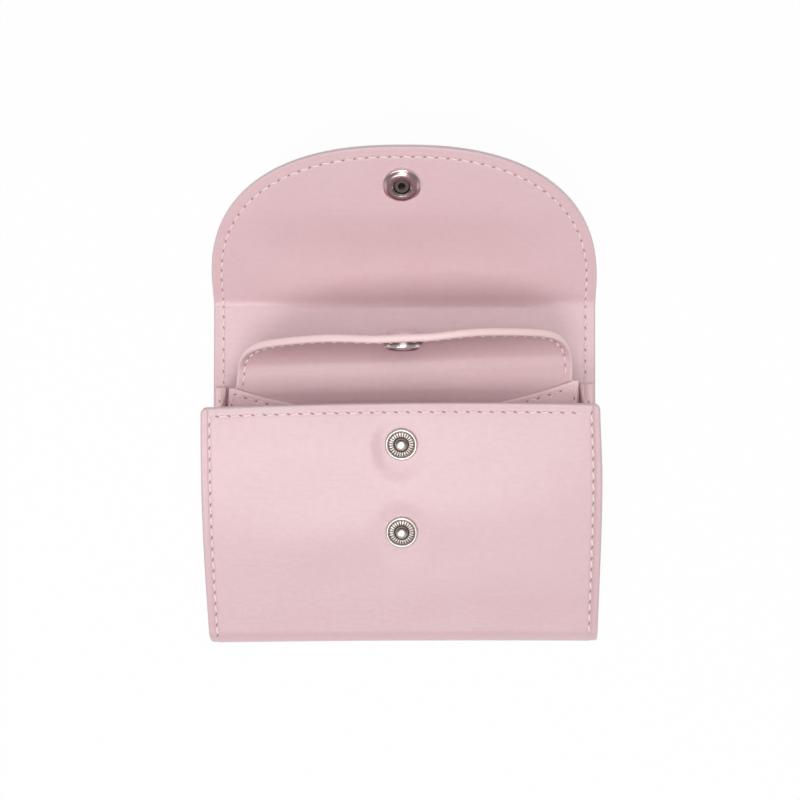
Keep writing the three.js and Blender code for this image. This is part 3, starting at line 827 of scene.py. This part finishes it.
def lay_divider(x, s, depth):
    """A point of the divider or inner flap: on its line and towards the front by its depth.

    It lies one to two degrees askew and a little to the right, and the tab is drawn in at its snap by a
    bell across and a soft step along.
    """
    pull, pull_half, pull_reach = 1.3, 5, 11
    tab_pull, pull_from, pull_run = 0.2, 66, 23
    low_askew, more_askew, askew_from, askew_run = 0.024, 0.016, 60, 15
    shift, shift_from, shift_run = 0.5, 57, 7
    y, z, heading = divider_line(s)
    share = np.clip((s - pull_from) / pull_run, 0, 1)
    beside = np.maximum(np.abs(x) - pull_half, 0) / pull_reach
    drawn = pull * np.exp(-beside ** 2) * smooth(share) + tab_pull * share
    upper = np.clip((s - askew_from) / askew_run, 0, 1)
    askew = x * (low_askew * np.clip(s / askew_from, 0, 1) + more_askew * upper)
    aside = shift * np.clip((s - shift_from) / shift_run, 0, 1)
    y = y + askew - drawn - depth * np.sin(heading)
    z = z + depth * np.cos(heading)
    return np.stack([x + aside, y, z], -1) / 1000


def inner_half(s):
    """Half the width of divider and inner flap: a soft step at the fold line, then the foot of the arch."""
    narrowed, step, power = 2.2, 4.0, 2.2
    beyond = np.clip((s - FOLD_LINE - step) / (TAB_END - FOLD_LINE - step), 0, 1)
    arch = 1 - (1 - beyond ** power) ** (1 / power)
    return DIVIDER_HALF - narrowed * smooth((s - FOLD_LINE) / step) - (DIVIDER_HALF - narrowed) * arch


def divider_cut():
    """Flat cut of the divider with the inner flap's foot: ruled lines spread to the width at each row."""
    rows = np.concatenate([np.linspace(0, 55, 45), np.linspace(56, ARM_CUT, 20)])
    across, s = np.meshgrid(ruled(DIVIDER_HALF) / DIVIDER_HALF, rows)
    half = inner_half(s)
    return across * half, s, half * (1 - np.abs(across))


def tab_lip(edge, s):
    """Share of the bead on the tab's turned edge: a bell near the edge that grows from the bend on."""
    return np.exp(-((edge - 0.9) / 1.3) ** 2) * np.clip((s - TAB_FOLD) / 8, 0, 1)


def pared(s):
    """How far the rear leather is pared, where the closed fold meets the spine.

    It is a smooth hump: the square of one less the squared distance from its place.
    """
    deep, place, reach = 0.4, 62.5, 3
    return deep * np.maximum(1 - ((s - place) / reach) ** 2, 0) ** 2


# painted highlight: the divider leathers' pale edge colour lights the tab's upturned lip
divider_back_leather = leather_finish(
    "divider_leather", pale=(0.795, 0.555, 0.58), deep=(0.73, 0.48, 0.51), gloss=0.42,
    seam=TAB_SEAM, edging=(0.9, 0.67, 0.66),
)
# painted shade: a deeper copy of the divider's leather for its front, whose upright tab face lies in shade
shaded_divider_face_leather = leather_finish(
    "shaded_divider_face_leather", pale=(0.65, 0.435, 0.455), deep=(0.59, 0.37, 0.395), gloss=0.46,
    seam=TAB_SEAM, edging=(0.9, 0.67, 0.66),
)
cut = divider_cut()
pare = pared(cut[1])
rear = leather_shell("divider_rear", cut, pare, INNER_BACK, lay_divider, divider_back_leather, (0.5, 0))
face = leather_shell("divider_front", cut, INNER_BACK, INNER, lay_divider, shaded_divider_face_leather, (0, 0.4))
for piece in (rear, face):
    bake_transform(piece)
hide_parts("divider_back", "inner_fold_back")
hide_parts("divider_face", "inner_fold_face")
cut = arch_cut([ARM_CUT], TAB_HALF, ARM_CUT, TAB_RISE, 2.0)
bead = tab_lip(cut[2], cut[1])
bumped = -snap_bump(cut[0], cut[1], TAB_SNAP, TAB_BUMP) - REAR_BEAD * bead
seated = INNER + FACE_BEAD * bead - snap_seat(cut[0], cut[1], TAB_SNAP)
tab_rear = leather_shell("tab_rear", cut, bumped, INNER_BACK, lay_divider, divider_back_leather, (0.8, 0))
tab_face = leather_shell("tab_front", cut, INNER_BACK, seated, lay_divider, shaded_divider_face_leather, (0, 0.6))
for piece in (tab_rear, tab_face):
    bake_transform(piece)
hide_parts("inner_arm_back", "tab_fold_back", "inner_tab_back")
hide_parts("inner_arm_face", "tab_fold_face", "inner_tab_face")

turn = np.linspace(0, np.pi, 70)
arch = np.stack([-(TAB_HALF - TAB_SEAM) * np.cos(turn), ARM_CUT + (TAB_RISE - TAB_SEAM) * np.sin(turn)], 1)
inner_side, inner_foot = 44.3, 61.8
inner_run = np.concatenate([[(-inner_side, inner_foot)], arch, [(inner_side, inner_foot)]])
for name, depth, out, lift, thin in (
    ("inner_seam_front", INNER, 1, FACE_BEAD, 0),
    ("inner_seam_rear", 0.0, -1, -REAR_BEAD, 1),
):
    def lay_stitch(x, s, depth, lift=lift, thin=thin):
        """A point of the seam: laid like its leaf, lifted by the bead, sunk where the rear is pared."""
        return lay_divider(x, s, depth + lift * tab_lip(TAB_SEAM, s) + thin * pared(s))

    for piece in seam("low_" + name, inner_run, depth, out, lay_stitch, end=ARM_CUT):
        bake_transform(piece)
    for piece in seam("high_" + name, inner_run, depth, out, lay_stitch, begin=ARM_CUT):
        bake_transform(piece)


# Slip pocket
# One leather on the divider's front. Its top edge is scooped along a wide arc and sewn, and its sides
# are sewn down to the divider.
POCKET_HALF = 48.0
POCKET_BACK = 1.8
POCKET_FACE = 2.6
POCKET_SEAM = 1.7
SCOOP_HALF = 46.5
SCOOP_DEPTH = 8.0
SCOOP_LOW = 52.7


def pocket_top(x):
    """Height of the pocket's top edge: a wide arc between two short level shoulders."""
    radius = (SCOOP_HALF ** 2 + SCOOP_DEPTH ** 2) / (2 * SCOOP_DEPTH)
    return SCOOP_LOW + radius - np.sqrt(radius ** 2 - np.minimum(np.abs(x), SCOOP_HALF) ** 2)


def pocket_cut():
    """Flat cut: ruled lines from the pocket's foot to its scooped edge.

    The third result is the distance from the nearest sewn edge.
    """
    below = np.concatenate([np.linspace(1, 0.1, 46), EDGE_LINES[::-1] / 52])
    x, below = np.meshgrid(ruled(POCKET_HALF), below)
    s = pocket_top(x) * (1 - below)
    return x, s, np.minimum(POCKET_HALF - np.abs(x), pocket_top(x) - s)


# painted light: paler than the lining, to lighten the pocket in the shade of the mouth
lit_pocket_leather = leather_finish(
    "lit_pocket_leather", pale=(0.87, 0.615, 0.635), deep=(0.8, 0.535, 0.56), gloss=0.45,
    seam=POCKET_SEAM, edging=(0.82, 0.6, 0.61),
)
cut = pocket_cut()
pocket = leather_shell("pocket", cut, POCKET_BACK, POCKET_FACE, lay_divider, lit_pocket_leather, (0.2, 0.4))
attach(pocket, "divider")
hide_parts("slip_pocket")
scoop = np.linspace(-46.2, 46.2, 60)
pocket_side, side_foot, side_top = 47.0, 6.0, 59.0
pocket_runs = {
    "pocket_side_seam_left": [(-pocket_side, side_foot), (-pocket_side, side_top)],
    "pocket_side_seam_right": [(pocket_side, side_foot), (pocket_side, side_top)],
    "pocket_seam": np.stack([scoop, pocket_top(scoop) - POCKET_SEAM], -1),
}
for name, run in pocket_runs.items():
    for piece in seam(name, run, POCKET_FACE, 1, lay_divider):
        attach(piece, "divider")


# Press snaps
# Nickel-plated brass: on the front panel two studs with a ribbed ring and a ball-ended post, on each flap
# a domed socket with a wire spring. Rivets and caps hold them from behind, between the leathers.
def nickel_finish(name, bright, worn_and_shaded, rough):
    """Nickel plate: bright on high spots, duller where worn and where a dimmer reflection is painted, and
    near black with tarnish and painted shade in recesses.
    """
    made, start, shader = new_finish(name)
    tarnish = start.node("ShaderNodeAttribute", {}, "Fac", attribute_name="tarnish")
    where = start.node("ShaderNodeTexCoord", {}, "Object")
    cloud = start.node("ShaderNodeTexNoise", {"Vector": where, "Scale": 700.0, "Detail": 3.0})
    plate = (tarnish * 1.7 + cloud * 0.12).held(0, 1).tint((*bright, 1), (*worn_and_shaded, 1))
    # painted shade with tarnish: high values turn the plate near black in grooves, recesses and hole floors
    (tarnish * 3.3 - 2.31).held(0, 1).tint(plate, (0.05, 0.03, 0.026, 1)).into(shader, "Base Color")
    (rough + cloud * 0.1 + tarnish * 0.1).into(shader, "Roughness")
    shader.inputs["Metallic"].default_value = 1.0
    return made


socket_nickel = nickel_finish("socket_nickel", (0.8, 0.765, 0.735), (0.55, 0.38, 0.39), 0.15)
stud_nickel = nickel_finish("stud_nickel", (0.78, 0.738, 0.695), (0.38, 0.315, 0.285), 0.32)
# painted shade: a near black copy of the nickel for the hidden parts seen deep in the sockets' holes
shaded_nickel = nickel_finish("shaded_nickel", (0.2, 0.17, 0.16), (0.12, 0.1, 0.09), 0.3)


def turned_metal(name, profile, soft, origin, axis, steps, finish, ribs=None):
    """A turned piece: an eased profile of radius, height and tarnish with painted shade round an axis.

    Its poles are closed by fans. Between ribs lie radial grooves painted dark as shade, the troughs of a
    cosine round the axis, on a ring between two radii.
    """
    rings, band_slope, groove_dark = 90, 0.15, 0.9
    profile = np.asarray(profile, float)
    length = np.concatenate([[0], np.cumsum(np.hypot(*np.diff(profile[:, :2], axis=0).T))])
    at = np.linspace(0, length[-1], rings)
    radius, height, dark = (eased(length, profile[:, i], at, soft) for i in range(3))
    turn = np.linspace(0, 2 * np.pi, steps + 1)[:-1]
    radius, angle = np.meshgrid(radius, turn, indexing="ij")
    height = height[:, None] + 0 * angle
    dark = dark[:, None] + 0 * angle
    if ribs:
        count, low, high, deep = ribs
        band = np.clip(np.minimum(radius - low, high - radius) / band_slope, 0, 1)
        groove = band * np.clip(-2 * np.cos(count * angle) - 0.95, 0, 1)
        height = height - deep * groove
        dark = dark + groove_dark * groove
    across = np.array([1.0, 0, 0])
    beside = np.cross(axis, across)
    points = np.asarray(origin) + (radius * np.cos(angle))[..., None] * across
    points = points + (radius * np.sin(angle))[..., None] * beside + height[..., None] * np.asarray(axis)
    points = np.concatenate([points[1:-1].reshape(-1, 3), points[[0, -1]].mean(1)]) / 1000
    dark = np.concatenate([dark[1:-1].reshape(-1), dark[[0, -1], 0]])
    foot, tip = len(points) - 2, len(points) - 1
    place = np.arange(foot).reshape(-1, steps)
    after = np.roll(place, -1, axis=1)
    sides = np.stack([place[:-1], after[:-1], after[1:], place[1:]], -1).reshape(-1, 4)
    foot_fan = np.stack([after[0], place[0], np.full(steps, foot)], -1)
    tip_fan = np.stack([place[-1], after[-1], np.full(steps, tip)], -1)
    piece = new_piece(name, points, [sides, foot_fan, tip_fan], finish, crisp=60, tarnish=dark)
    return piece


# Radius, height and tarnish of the stud: the fold inside the rim, the recess round the post and the post's
# foot are dark as painted shade with some tarnish
stud_profile = [
    (0, 0.03, 0), (4.1, 0.03, 0), (4.38, 0.1, 0), (4.4, 0.5, 0.15), (4.26, 0.78, 0), (3.93, 0.92, 0),
    (3.62, 0.78, 0), (3.5, 0.45, 0.95), (3.38, 0.48, 0.7), (3.28, 0.66, 0.15), (2.6, 0.74, 0.4),
    (2.08, 0.7, 0.45), (1.93, 0.4, 0.82), (1.6, 0.25, 0.82), (1.32, 0.35, 0.8), (1.2, 0.9, 0.7),
    (1.36, 1.45, 0.4), (1.36, 1.8, 0.2), (1.1, 2.08, 0.1), (0.6, 2.19, 0.05), (0, 2.2, 0.05),
]
STUD_EASE = 0.09
STUD_STEPS = 260
stud_ribs = (26, 2.1, 3.42, 0.12)
for name, place in zip(("upper_stud", "lower_stud"), STUDS):
    y, z, heading = panel_line(place)
    out = np.array([0, math.sin(heading), -math.cos(heading)])
    seat = np.array([0, y, z]) + swell(0.0, place) * out
    stud = turned_metal(
        name + "_plated", stud_profile, STUD_EASE, seat, out, STUD_STEPS, stud_nickel, stud_ribs,
    )
    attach(stud, "front")
    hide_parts(name)

# The sockets' rim and dome as far as the spring's groove, then the floor with its eyelet. The third value
# darkens the plate: painted darker reflection on the dome, painted shade in the groove and on the floor
socket_dome = [
    (5.22, 0.5, 0.05), (5.1, 0.75, 0.05), (4.85, 0.8, 0.8), (4.6, 1.1, 0.6), (4.1, 1.48, 0.5),
    (3.5, 1.64, 0.58), (2.9, 1.56, 0.55), (2.5, 1.42, 0.2), (2.28, 1.2, 0.1), (2.25, 1.0, 0.8),
    (2.95, 0.95, 1.0),
]
socket_floor = [
    (2.95, 0.55, 1.0), (2.4, 0.5, 1.0), (2.3, 0.24, 1.0), (1.5, 0.24, 0.95), (1.42, 0.46, 0.1),
    (1.25, 0.53, 0.0), (1.1, 0.46, 0.3), (1.02, 0.2, 1.0), (0, 0.15, 1.0),
]
SOCKET_EASE = 0.07
SOCKET_STEPS = 96


def facing(lean):
    """The direction that a socket faces: square to a line that leans by an angle from +Y towards +Z."""
    return np.array([0, -math.sin(lean), math.cos(lean)])


socket_sunk, socket_lean = 0.4, math.radians(8)
y, z, heading = panel_line(FLAP_SNAP)
seat = np.array([0, y, z]) + (PANEL - socket_sunk) * facing(heading)
outward = facing(heading + socket_lean)
skirt = [(0, -1.0, 0.6), (4.95, -1.0, 0.3), (5.18, -0.8, 0.3), (5.2, 0.2, 0.05)]
profile = skirt + socket_dome + socket_floor
flap_socket = turned_metal(
    "flap_socket_plated", profile, SOCKET_EASE, seat, outward, SOCKET_STEPS, socket_nickel,
)
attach(flap_socket, "flap")
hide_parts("flap_socket")

socket_proud, socket_deeper, socket_lean = 0.6, 1.15, math.radians(7)
below, seat, above = lay_divider(np.zeros(3), TAB_SNAP + np.array([-1, 0, 1]), INNER) * 1000
outward = facing(math.atan2(above[2] - below[2], above[1] - below[1]) + socket_lean)
seat = seat + socket_proud * outward
# painted shadow: the socket's barrel is near black, a shadow line under the tab's lip
skirt = [(0, -1.4, 0.9), (5.1, -1.4, 0.9), (5.2, -0.15, 0.85), (5.2, -0.1, 0.05)]
deep_floor = [(radius, height - socket_deeper, dark) for radius, height, dark in socket_floor]
profile = skirt + socket_dome + deep_floor
inner_socket = turned_metal(
    "inner_socket_plated", profile, SOCKET_EASE, seat, outward, SOCKET_STEPS, socket_nickel,
)
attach(inner_socket, "inner_tab")
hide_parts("inner_socket")

# painted shade: these parts take the near black copy of the nickel
for node in (
    "upper_stud_rivet", "lower_stud_rivet", "flap_snap_cap", "flap_snap_spring",
    "inner_snap_cap", "inner_snap_spring",
):
    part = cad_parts[node]
    part.data.materials.clear()
    part.data.materials.append(shaded_nickel)
